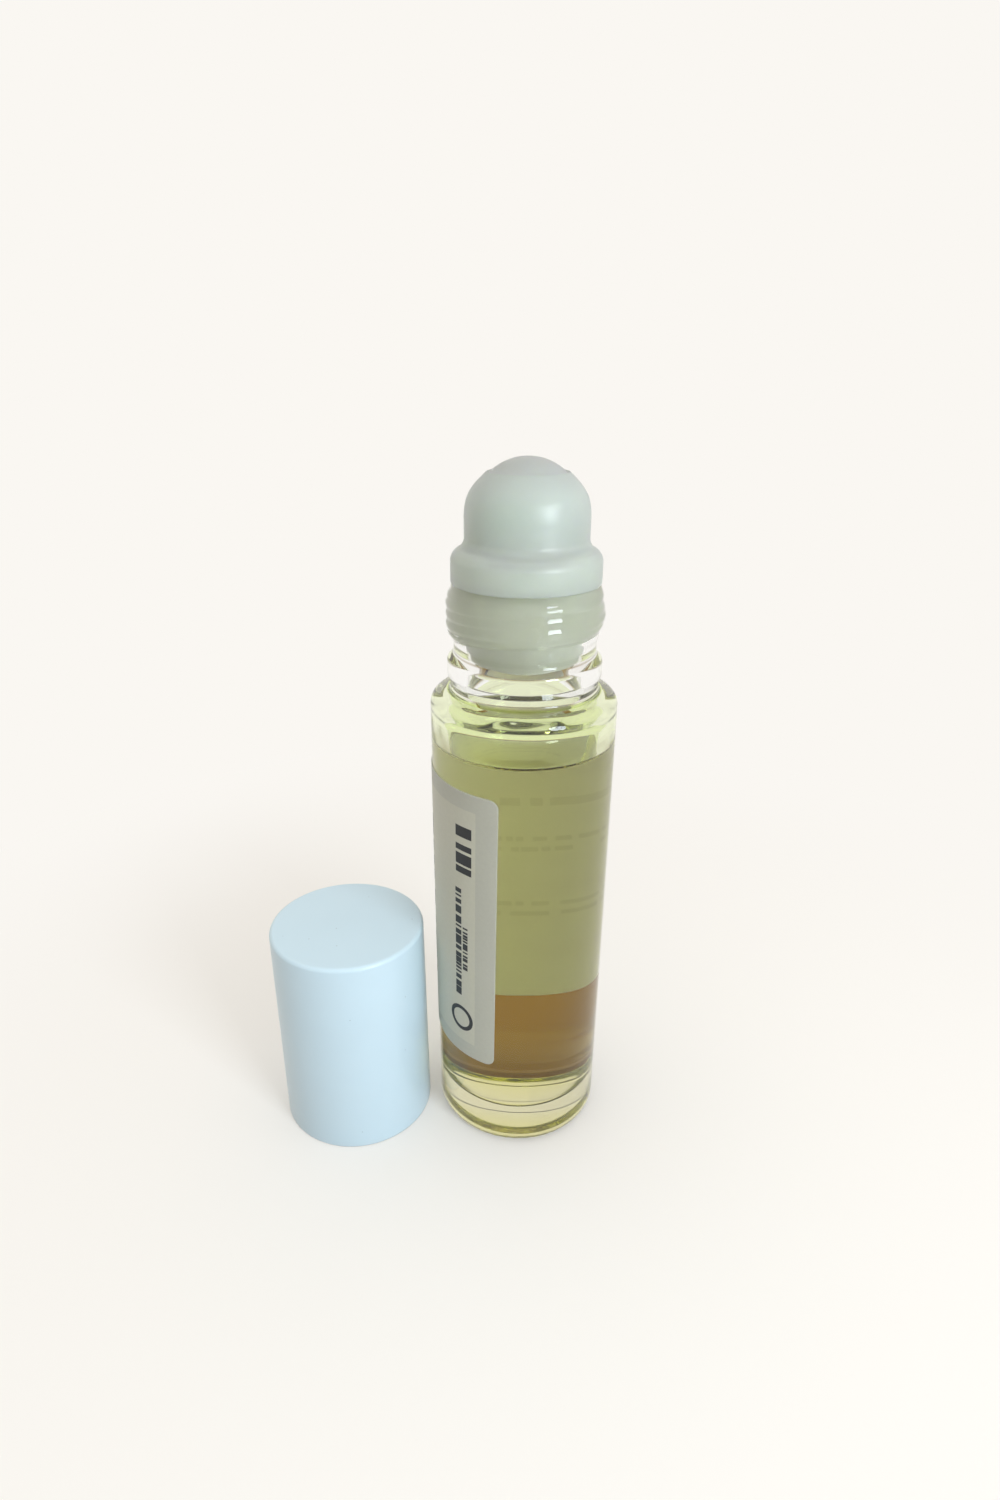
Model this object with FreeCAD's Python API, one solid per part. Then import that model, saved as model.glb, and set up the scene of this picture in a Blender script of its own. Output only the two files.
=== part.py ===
import FreeCAD, Part
import math
import os
from collections import namedtuple

# Roll-on bottle: a small glass bottle with a ball applicator, its cap standing beside it.
# Millimetres, Z up. The bottle's axis is Z, and it stands on Z = 0 with its front towards -Y.

# Glass bottle
BODY_DIAMETER = 20.0
BODY_HEIGHT = 53.4              # standing face to the start of the shoulder
GLASS_WALL = 1.7
BASE_THICKNESS = 4.5
HEEL_ROUND = 1.5
BEARING_RING_WIDTH = 1.6        # flat ring that the bottle stands on
PUSH_UP_DEPTH = 0.5             # hollow inside the bearing ring
FLOOR_ROUND = 2.0
SHOULDER_ROUND = 2.9
INNER_SHOULDER_DROP = 0.4       # inside corner, below the start of the outer shoulder
INNER_SHOULDER_ROUND = 2.4
NECK_ENTRY_RISE = 0.4           # inside corner of the neck, above the top of the shoulder
NECK_ENTRY_ROUND = 1.6

# Neck finish, from the shoulder up
WAIST_DIAMETER = 15.7
WAIST_HEIGHT = 0.9
BEAD_DIAMETER = 16.3
BEAD_HEIGHT = 3.1
BEAD_FLANK = 0.8                # height of the bead's sloping flanks
BEAD_ROUND = 0.7
GROOVE_DIAMETER = 14.9          # between the bead and the thread
GROOVE_HEIGHT = 1.0
GROOVE_FLANK = 0.7
NECK_DIAMETER = 15.3            # root of the thread, up to the lip
NECK_BORE = 12.0
THREAD_CREST_DIAMETER = 16.4
THREAD_RIDGE_ROUND = 1.0        # radius of the rounded thread ridge
THREAD_PITCH = 2.1
THREAD_TURNS = 1.7
THREAD_RISE = 2.45              # top of the bead to the middle of the first ridge
THREAD_START_ANGLE = 97.0       # degrees about Z from +X
THREAD_RUN_OUT = 25.0           # degrees of taper at each end of a ridge
THREAD_TIP_ROUND = 0.15         # radius that the taper ends at, inside the wall
LIP_MARGIN = 0.1                # last ridge to the lip
LIP_ROUND = 0.4

# Roller ball and the fitment that holds it
BALL_DIAMETER = 11.2
BALL_CLEARANCE = 0.1            # running gap all round the ball
BALL_EXPOSURE = 1.5             # ball standing above the socket's rim
SOCKET_WALL = 0.55
SOCKET_RIM_ROUND = 0.25
SEAT_THICKNESS = 0.65           # lip of the bottle to the bottom of the socket
SEAT_SLOPE_RISE = 2.0           # the seat's underside slopes up to the plug's wall
FEED_HOLE_DIAMETER = 4.4
FLANGE_DIAMETER = 15.3
FLANGE_HEIGHT = 3.3
FLANGE_ROUND = 1.1
FLANGE_ROOT_ROUND = 0.35
PLUG_LENGTH = 8.8
PLUG_WALL = 0.8
PLUG_CLEARANCE = 0.15           # plug to bore, between the sealing ribs
PLUG_RIB_HEIGHT = 0.9
PLUG_RIB_SPACING = 2.6
PLUG_RIB_COUNT = 2

# Screw cap
CAP_WALL = 0.8                  # at the mouth
CAP_CLEARANCE = 0.27            # inner wall to the thread crest
CAP_DRAFT = 0.12                # the outside narrows by this much towards the top
CAP_TOP_THICKNESS = 1.5
CAP_HEADROOM = 3.05             # over the ball when the cap is on
CAP_SEAT_GAP = 0.8              # mouth to the top of the shoulder when the cap is on
CAP_EDGE_ROUND = 0.5
CAP_MOUTH_CHAMFER = 0.3
CAP_THREAD_TURNS = 1.25
CAP_THREAD_DEPTH = 0.17         # middle of the cap's ridge, inside its inner wall
THREAD_CLEARANCE = 0.05         # between the two threads when the cap is on
SEAL_RING_DIAMETER = 7.0
SEAL_RING_WALL = 0.8
SEAL_CLEARANCE = 0.05           # ring to ball when the cap is on
CAP_STAND_GAP = 1.4             # cap beside the bottle, wall to wall
CAP_STAND_ANGLE = 186.2         # degrees about Z from +X

# Label and contents
LABEL_WIDTH = 40.0              # along the wrap
LABEL_LOWER_MARGIN = 12.1       # standing face to the label
LABEL_UPPER_MARGIN = 6.3        # label to the start of the shoulder
LABEL_THICKNESS = 0.1
LABEL_CORNER_ROUND = 1.0
LABEL_EDGE_ANGLE = -14.0        # the edge that shows, degrees from the front towards +X
FILL_GAP = 3.0                  # oil level below the start of the shoulder

# Places worked out from the sizes
BODY_RADIUS = BODY_DIAMETER / 2
INNER_RADIUS = BODY_RADIUS - GLASS_WALL
WAIST_RADIUS = WAIST_DIAMETER / 2
NECK_RADIUS = NECK_DIAMETER / 2
GROOVE_RADIUS = GROOVE_DIAMETER / 2
BORE_RADIUS = NECK_BORE / 2
BALL_RADIUS = BALL_DIAMETER / 2
SOCKET_RADIUS = BALL_RADIUS + BALL_CLEARANCE
DOME_RADIUS = SOCKET_RADIUS + SOCKET_WALL
THREAD_RADIUS = THREAD_CREST_DIAMETER / 2 - THREAD_RIDGE_ROUND
CAP_INNER_RADIUS = max(THREAD_CREST_DIAMETER, BEAD_DIAMETER) / 2 + CAP_CLEARANCE
CAP_RADIUS = CAP_INNER_RADIUS + CAP_WALL

SHOULDER_STEP = BODY_RADIUS - WAIST_RADIUS
SHOULDER_ARC = max(SHOULDER_ROUND, SHOULDER_STEP)
SHOULDER_TOP_Z = BODY_HEIGHT + math.sqrt(SHOULDER_ARC ** 2 - (SHOULDER_ARC - SHOULDER_STEP) ** 2)
BEAD_Z = SHOULDER_TOP_Z + WAIST_HEIGHT
THREAD_Z = BEAD_Z + BEAD_HEIGHT + THREAD_RISE
RIDGE_HALF_WIDTH = math.sqrt(THREAD_RIDGE_ROUND ** 2 - (NECK_RADIUS - THREAD_RADIUS) ** 2)
LIP_Z = THREAD_Z + THREAD_PITCH * THREAD_TURNS + RIDGE_HALF_WIDTH + LIP_MARGIN
BALL_Z = LIP_Z + SEAT_THICKNESS + SOCKET_RADIUS
BALL_TOP_Z = BALL_Z + BALL_RADIUS
RIM_Z = BALL_TOP_Z - BALL_EXPOSURE
FLANGE_TOP_Z = LIP_Z + FLANGE_HEIGHT
PLUG_BOTTOM_Z = LIP_Z - PLUG_LENGTH
FILL_Z = BODY_HEIGHT - FILL_GAP
CAP_ON_Z = SHOULDER_TOP_Z + CAP_SEAT_GAP
CAP_HEIGHT = BALL_TOP_Z + CAP_HEADROOM + CAP_TOP_THICKNESS - CAP_ON_Z

FULL_TURN = 360.0
ORIGIN = FreeCAD.Vector(0, 0, 0)
UP = FreeCAD.Vector(0, 0, 1)
LONGEST_ROUND = 0.48            # share of a straight run that a rounded corner may take

# A turned outline is a list of steps: straight to a corner, which may be rounded,
# or along an arc through a middle point to its end.
Corner = namedtuple("Corner", "r z round", defaults=(0.0,))
Arc = namedtuple("Arc", "mid_r mid_z r z")


def point(r, z):
    return FreeCAD.Vector(r, 0, z)


def sphere_height(radius, r):
    """Height of a sphere's surface over its middle, at distance r from the axis."""
    return math.sqrt(radius ** 2 - r ** 2)


def arc_step(centre_r, centre_z, radius, start_degrees, end_degrees):
    """An arc step about a centre, from one angle to another."""
    middle = math.radians((start_degrees + end_degrees) / 2)
    end = math.radians(end_degrees)
    return Arc(
        centre_r + radius * math.cos(middle),
        centre_z + radius * math.sin(middle),
        centre_r + radius * math.cos(end),
        centre_z + radius * math.sin(end),
    )


def rounded_corner(before, corner, after):
    """Start, middle and end of the arc that rounds a corner between two straight runs."""
    here = point(corner.r, corner.z)
    to_before = before - here
    to_after = after - here
    half_angle = to_before.getAngle(to_after) / 2
    reach = corner.round / math.tan(half_angle)
    reach = min(reach, LONGEST_ROUND * min(to_before.Length, to_after.Length))
    radius = reach * math.tan(half_angle)
    start = here + to_before.normalize() * reach
    end = here + to_after.normalize() * reach
    inwards = (start + end - here * 2).normalize()
    middle = here + inwards * (radius / math.sin(half_angle) - radius)
    return start, middle, end


def turned(steps):
    """Solid of revolution about Z from a closed outline of steps, whose last corner is sharp."""
    ends = [point(step.r, step.z) for step in steps]
    edges = []
    pen = ends[-1]
    for index, step in enumerate(steps):
        if isinstance(step, Arc):
            edges.append(Part.Arc(pen, point(step.mid_r, step.mid_z), ends[index]).toShape())
            pen = ends[index]
        elif step.round > 0:
            after = ends[(index + 1) % len(steps)]
            start, middle, end = rounded_corner(ends[index - 1], step, after)
            edges.append(Part.makeLine(pen, start))
            edges.append(Part.Arc(start, middle, end).toShape())
            pen = end
        else:
            edges.append(Part.makeLine(pen, ends[index]))
            pen = ends[index]
    face = Part.Face(Part.Wire(edges))
    return face.revolve(ORIGIN, UP, FULL_TURN)


def helix_section(radius, section_round, degrees):
    """A round section square to the thread's helix, this many degrees along it."""
    angle = math.radians(degrees)
    centre = FreeCAD.Vector(
        radius * math.cos(angle), radius * math.sin(angle), THREAD_PITCH * degrees / FULL_TURN
    )
    run = 2 * math.pi * radius
    along = FreeCAD.Vector(-run * math.sin(angle), run * math.cos(angle), THREAD_PITCH)
    return Part.Wire(Part.makeCircle(section_round, centre, along))


def thread_ridge(radius, ridge_round, tip_radius, start_z, turns, start_degrees):
    """A rounded right-hand thread ridge whose ends taper off into the wall."""
    end_degrees = FULL_TURN * turns
    start = helix_section(radius, ridge_round, 0)
    end = helix_section(radius, ridge_round, end_degrees)
    run_in = helix_section(tip_radius, THREAD_TIP_ROUND, -THREAD_RUN_OUT)
    run_out = helix_section(tip_radius, THREAD_TIP_ROUND, end_degrees + THREAD_RUN_OUT)
    helix = Part.makeHelix(THREAD_PITCH, THREAD_PITCH * turns, radius)
    ridge = Part.Wire(helix).makePipeShell([start], True, True)
    ridge = ridge.fuse([
        Part.makeLoft([run_in, start], True, True),
        Part.makeLoft([end, run_out], True, True),
    ])
    ridge.rotate(ORIGIN, UP, start_degrees)
    ridge.translate(UP * start_z)
    return ridge


def bottle():
    shoulder_end = math.degrees(math.acos((SHOULDER_ARC - SHOULDER_STEP) / SHOULDER_ARC))
    bead_radius = BEAD_DIAMETER / 2
    groove_z = BEAD_Z + BEAD_HEIGHT
    glass = turned([
        Corner(0, 0),
        Corner(BODY_RADIUS, 0, HEEL_ROUND),
        Corner(BODY_RADIUS, BODY_HEIGHT),
        arc_step(BODY_RADIUS - SHOULDER_ARC, BODY_HEIGHT, SHOULDER_ARC, 0, shoulder_end),
        Corner(WAIST_RADIUS, BEAD_Z, BEAD_ROUND),
        Corner(bead_radius, BEAD_Z + BEAD_FLANK, BEAD_ROUND),
        Corner(bead_radius, groove_z - BEAD_FLANK, BEAD_ROUND),
        Corner(GROOVE_RADIUS, groove_z, BEAD_ROUND),
        Corner(GROOVE_RADIUS, groove_z + GROOVE_HEIGHT, BEAD_ROUND),
        Corner(NECK_RADIUS, groove_z + GROOVE_HEIGHT + GROOVE_FLANK, BEAD_ROUND),
        Corner(NECK_RADIUS, LIP_Z, LIP_ROUND),
        Corner(BORE_RADIUS, LIP_Z, LIP_ROUND),
        Corner(BORE_RADIUS, SHOULDER_TOP_Z + NECK_ENTRY_RISE, NECK_ENTRY_ROUND),
        Corner(INNER_RADIUS, BODY_HEIGHT - INNER_SHOULDER_DROP, INNER_SHOULDER_ROUND),
        Corner(INNER_RADIUS, BASE_THICKNESS, FLOOR_ROUND),
        Corner(0, BASE_THICKNESS),
    ])
    ring_inner = BODY_RADIUS - HEEL_ROUND - BEARING_RING_WIDTH
    dish_radius = (ring_inner ** 2 + PUSH_UP_DEPTH ** 2) / (2 * PUSH_UP_DEPTH)
    dish = Part.makeSphere(dish_radius, UP * (PUSH_UP_DEPTH - dish_radius))
    thread = thread_ridge(
        THREAD_RADIUS,
        THREAD_RIDGE_ROUND,
        NECK_RADIUS - 2 * THREAD_TIP_ROUND,
        THREAD_Z,
        THREAD_TURNS,
        THREAD_START_ANGLE,
    )
    bore = Part.makeCylinder(BORE_RADIUS, LIP_Z)
    return glass.cut(dish).fuse(thread.cut(bore)).removeSplitter()


def roller_housing():
    plug_radius = BORE_RADIUS - PLUG_CLEARANCE
    plug_inner = plug_radius - PLUG_WALL
    feed_radius = FEED_HOLE_DIAMETER / 2
    rim_degrees = math.degrees(math.asin((RIM_Z - BALL_Z) / SOCKET_RADIUS))
    seat_degrees = -math.degrees(math.acos(feed_radius / SOCKET_RADIUS))
    dome_degrees = math.degrees(math.asin((RIM_Z - BALL_Z) / DOME_RADIUS))
    housing = turned([
        Corner(plug_inner, PLUG_BOTTOM_Z),
        Corner(plug_inner, LIP_Z + SEAT_SLOPE_RISE),
        Corner(feed_radius, LIP_Z),
        Corner(feed_radius, BALL_Z - sphere_height(SOCKET_RADIUS, feed_radius)),
        arc_step(0, BALL_Z, SOCKET_RADIUS, seat_degrees, rim_degrees),
        Corner(sphere_height(DOME_RADIUS, RIM_Z - BALL_Z), RIM_Z),
        arc_step(0, BALL_Z, DOME_RADIUS, dome_degrees, 0),
        Corner(DOME_RADIUS, FLANGE_TOP_Z, FLANGE_ROOT_ROUND),
        Corner(FLANGE_DIAMETER / 2, FLANGE_TOP_Z, FLANGE_ROUND),
        Corner(FLANGE_DIAMETER / 2, LIP_Z),
        Corner(plug_radius, LIP_Z),
        Corner(plug_radius, PLUG_BOTTOM_Z),
    ])
    rim_edges = [
        edge
        for edge in housing.Edges
        if abs(edge.BoundBox.ZMin - RIM_Z) < 1e-6 and abs(edge.BoundBox.ZMax - RIM_Z) < 1e-6
    ]
    housing = housing.makeFillet(SOCKET_RIM_ROUND, rim_edges)
    ribs = [
        turned([
            Corner(plug_radius - PLUG_WALL / 2, z - PLUG_RIB_HEIGHT / 2),
            Corner(plug_radius, z - PLUG_RIB_HEIGHT / 2),
            Arc(BORE_RADIUS, z, plug_radius, z + PLUG_RIB_HEIGHT / 2),
            Corner(plug_radius - PLUG_WALL / 2, z + PLUG_RIB_HEIGHT / 2),
        ])
        for z in (PLUG_BOTTOM_Z + PLUG_RIB_SPACING * (i + 0.5) for i in range(PLUG_RIB_COUNT))
    ]
    return housing.fuse(ribs).removeSplitter()


def roller_ball():
    return Part.makeSphere(BALL_RADIUS, UP * BALL_Z)


def screw_cap():
    ceiling_z = CAP_HEIGHT - CAP_TOP_THICKNESS
    ring_outer = SEAL_RING_DIAMETER / 2
    ring_inner = ring_outer - SEAL_RING_WALL
    ring_z = BALL_Z + sphere_height(BALL_RADIUS, ring_inner) + SEAL_CLEARANCE - CAP_ON_Z
    cap = turned([
        Corner(0, ceiling_z),
        Corner(ring_inner, ceiling_z),
        Corner(ring_inner, ring_z),
        Corner(ring_outer, ring_z),
        Corner(ring_outer, ceiling_z),
        Corner(CAP_INNER_RADIUS, ceiling_z),
        Corner(CAP_INNER_RADIUS, CAP_MOUTH_CHAMFER),
        Corner(CAP_INNER_RADIUS + CAP_MOUTH_CHAMFER, 0),
        Corner(CAP_RADIUS, 0),
        Corner(CAP_RADIUS - CAP_DRAFT, CAP_HEIGHT, CAP_EDGE_ROUND),
        Corner(0, CAP_HEIGHT),
    ])
    ridge_radius = CAP_INNER_RADIUS - CAP_THREAD_DEPTH
    ridge_round = math.hypot(THREAD_PITCH / 2, ridge_radius - THREAD_RADIUS)
    ridge_round -= THREAD_RIDGE_ROUND + THREAD_CLEARANCE
    ridge_z = THREAD_Z + THREAD_PITCH / 2 - CAP_ON_Z
    ridge = thread_ridge(
        ridge_radius,
        ridge_round,
        CAP_INNER_RADIUS + 2 * THREAD_TIP_ROUND,
        ridge_z,
        CAP_THREAD_TURNS,
        THREAD_START_ANGLE,
    )
    cap = cap.fuse(ridge).removeSplitter()
    stand_distance = BODY_RADIUS + LABEL_THICKNESS + CAP_STAND_GAP + CAP_RADIUS
    stand_angle = math.radians(CAP_STAND_ANGLE)
    cap.translate(FreeCAD.Vector(
        stand_distance * math.cos(stand_angle), stand_distance * math.sin(stand_angle), 0
    ))
    return cap


def label():
    height = BODY_HEIGHT - LABEL_UPPER_MARGIN - LABEL_LOWER_MARGIN
    wrap_degrees = math.degrees(LABEL_WIDTH / BODY_RADIUS)
    strip = Part.makePlane(
        LABEL_THICKNESS,
        height,
        point(BODY_RADIUS, LABEL_LOWER_MARGIN),
        FreeCAD.Vector(0, -1, 0),
        FreeCAD.Vector(1, 0, 0),
    )
    paper = strip.revolve(ORIGIN, UP, -wrap_degrees)
    corners = [edge for edge in paper.Edges if abs(edge.Length - LABEL_THICKNESS) < 1e-6]
    paper = paper.makeFillet(LABEL_CORNER_ROUND, corners)
    paper.rotate(ORIGIN, UP, LABEL_EDGE_ANGLE - 90)
    return paper


def oil():
    return turned([
        Corner(0, BASE_THICKNESS),
        Corner(INNER_RADIUS, BASE_THICKNESS, FLOOR_ROUND),
        Corner(INNER_RADIUS, FILL_Z),
        Corner(0, FILL_Z),
    ])


def main():
    os.makedirs("parts", exist_ok=True)
    pieces = {
        "bottle": bottle(),
        "roller_housing": roller_housing(),
        "roller_ball": roller_ball(),
        "screw_cap": screw_cap(),
        "label": label(),
        "oil": oil(),
    }
    for name, shape in pieces.items():
        shape.exportStep("parts/" + name + ".step")
        print(name, shape.isValid(), len(shape.Solids), "solid", round(shape.Volume, 1), "mm3")


main()
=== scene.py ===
import math
from collections import namedtuple
from functools import partial

import bmesh
import bpy
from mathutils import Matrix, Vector


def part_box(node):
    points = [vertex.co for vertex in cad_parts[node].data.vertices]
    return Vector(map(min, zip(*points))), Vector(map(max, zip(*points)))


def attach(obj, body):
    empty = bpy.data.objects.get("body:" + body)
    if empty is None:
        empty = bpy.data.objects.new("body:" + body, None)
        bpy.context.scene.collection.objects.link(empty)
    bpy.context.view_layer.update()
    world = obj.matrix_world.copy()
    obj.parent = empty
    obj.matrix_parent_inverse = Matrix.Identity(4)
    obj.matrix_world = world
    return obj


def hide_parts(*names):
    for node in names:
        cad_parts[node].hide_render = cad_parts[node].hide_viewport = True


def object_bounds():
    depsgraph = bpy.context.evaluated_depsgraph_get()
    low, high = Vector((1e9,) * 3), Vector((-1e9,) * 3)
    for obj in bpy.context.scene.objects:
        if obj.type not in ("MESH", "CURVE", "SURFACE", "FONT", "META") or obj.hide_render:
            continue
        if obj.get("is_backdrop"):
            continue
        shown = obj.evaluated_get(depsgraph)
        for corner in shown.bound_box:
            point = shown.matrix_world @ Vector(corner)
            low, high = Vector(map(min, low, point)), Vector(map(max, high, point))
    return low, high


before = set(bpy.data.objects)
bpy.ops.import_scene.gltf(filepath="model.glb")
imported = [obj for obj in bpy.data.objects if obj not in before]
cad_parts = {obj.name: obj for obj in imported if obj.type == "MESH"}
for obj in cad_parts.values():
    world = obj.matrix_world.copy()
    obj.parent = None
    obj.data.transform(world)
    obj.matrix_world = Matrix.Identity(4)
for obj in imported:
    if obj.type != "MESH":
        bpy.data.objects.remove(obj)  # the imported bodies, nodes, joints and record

bl_info = {
    "name": "Roll-on bottle",
    "version": (1, 0, 0),
    "blender": (4, 5, 0),
    "location": "3D View > Sidebar > Roll-on",
    "description": "Dresses a glass roll-on bottle of oil: ball applicator, label and screw cap",
    "category": "Object",
}

CAD_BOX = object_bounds()
MM = 0.001
FULL_TURN = 2 * math.pi
UP = Vector((0, 0, 1))

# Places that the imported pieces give, in metres. The bottle's axis is Z and its front is -Y.
BOTTLE_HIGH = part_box("bottle")[1]
HOUSING_LOW, HOUSING_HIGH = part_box("roller_housing")
BALL_LOW, BALL_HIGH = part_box("roller_ball")
CAP_LOW, CAP_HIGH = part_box("screw_cap")
LABEL_LOW, LABEL_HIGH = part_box("label")
OIL_LOW, OIL_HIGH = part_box("oil")
BODY_RADIUS = BOTTLE_HIGH.x
LIP_Z = BOTTLE_HIGH.z
INNER_RADIUS = OIL_HIGH.x
FLOOR_Z = OIL_LOW.z
FILL_Z = OIL_HIGH.z
BALL_RADIUS = (BALL_HIGH.z - BALL_LOW.z) / 2
BALL_Z = (BALL_HIGH.z + BALL_LOW.z) / 2
BALL_CENTRE = Vector((0, 0, BALL_Z))
FLANGE_RADIUS = HOUSING_HIGH.x
PLUG_Z = HOUSING_LOW.z
RIM_Z = HOUSING_HIGH.z
CAP_CENTRE = Vector(((CAP_LOW.x + CAP_HIGH.x) / 2, (CAP_LOW.y + CAP_HIGH.y) / 2, 0))
CAP_RADIUS = (CAP_HIGH.x - CAP_LOW.x) / 2
CAP_HEIGHT = CAP_HIGH.z

# Mesh fineness
SECTORS = 12                    # a spin makes one of these and repeats it
GLASS_STEPS = 360
PLASTIC_STEPS = 192
BALL_STEPS = 144
BALL_RINGS = 96
SEAT_STEPS = 20
RIM_STEPS = 16
LABEL_STRIPS = 120
FLOOR_SIDES = 64
ROUND_SEGMENTS = 8
THREAD_FINENESS = 0.12 * MM
LONGEST_ROUND = 0.48            # share of a straight run that a rounded corner may take
MERGE = 0.001 * MM
SLACK = 0.01 * MM               # between faces that must not coincide, and in tests of place
OVERLAP = 0.02 * MM             # how far oil and plug reach into the glass, so that no air shows
OUTSIDE = 1 * MM                # this far from an inner edge, a vertex lies on the outer wall
SHARP_ANGLE = math.radians(50)

# Small sizes
STIPPLE_INSET = 0.825 * MM      # wall to the ring of heel bumps
STIPPLE_RADIUS = 0.384 * MM
LIP_MARGIN = 0.9 * MM           # depth under the lip in which the thread fades
MENISCUS_WIDTH = 1.5 * MM
MENISCUS_STEEP = 0.35 * MM      # width of its steep part
SEAT_RISE = 2.0 * MM            # how far the seat's underside rises to the plug
PARTING_WIDTH = 0.12 * MM       # line round the ball where its mould parted
PARTING_DEPTH = 0.006 * MM
CAP_LEAD_IN = 0.3 * MM          # slope inside the cap's mouth
LABEL_THICKNESS = 0.1 * MM      # paper outside the glass
LABEL_BITE = 0.025 * MM         # how far the label's gum reaches into the glass

# Small roundings
PUSH_UP_ROUND = 1.5 * MM
RING_ROUND = 0.3 * MM
FLOOR_ROUND = 2.0 * MM
INNER_ROUND = 1.6 * MM
WAIST_ROUND = 0.55 * MM
BEAD_ROUND = 0.7 * MM
BORE_ROUND = 1.0 * MM
LIP_ROUND = 0.4 * MM
FLANGE_FOOT_ROUND = 0.15 * MM
PLUG_LEAD_ROUND = 0.5 * MM
PLUG_END_ROUND = 0.2 * MM
CAP_RIM_ROUND = 0.08 * MM
CAP_CEILING_ROUND = 0.4 * MM
SEAL_ROOT_ROUND = 0.2 * MM
SEAL_EDGE_ROUND = 0.1 * MM

# Shares that shape the pieces
BUMP_SHARE = 0.7                # of a heel bump's height: goes outwards, and as much downwards
STEEP_CLIMB = 0.65              # of the oil's climb up the glass: its steep part
WALL_THINS = 0.3                # of the way up the socket's rim: its wall starts to thin
GAP_CLOSES = 0.7                # of the way up the socket's rim: the ball's gap starts to close

# Refractive indices
GLASS_IOR = 1.52
OIL_IOR = 1.47

# The photograph's frame in pixels, and the focal length and middle of the view fitted to it
PHOTO_WIDTH = 1000
PHOTO_HEIGHT = 1500
FOCAL_PIXELS = 856.64
VIEW_MIDDLE = Vector((485.76, 780.17))
SENSOR_MM = 36

# A corner of an outline in the XZ plane: distance from the axis, height, rounding radius.
Corner = namedtuple("Corner", "r z round", defaults=(0.0,))


def linear(hex_colour):
    """Linear red, green and blue of an sRGB hex colour."""
    channels = [int(hex_colour[i:i + 2], 16) / 255 for i in (1, 3, 5)]
    return tuple(c / 12.92 if c <= 0.04045 else ((c + 0.055) / 1.055) ** 2.4 for c in channels)


def millimetres(name, description, value):
    """A length property, given in millimetres."""
    return bpy.props.FloatProperty(
        name=name, description=description, default=value * MM, subtype="DISTANCE", unit="LENGTH"
    )


def degrees(name, description, value):
    """An angle property, given in degrees."""
    return bpy.props.FloatProperty(
        name=name, description=description, default=math.radians(value), subtype="ANGLE"
    )


def paint(name, description, hex_colour):
    """A colour property, given in sRGB."""
    return bpy.props.FloatVectorProperty(
        name=name, description=description, default=linear(hex_colour), subtype="COLOR"
    )


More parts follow.
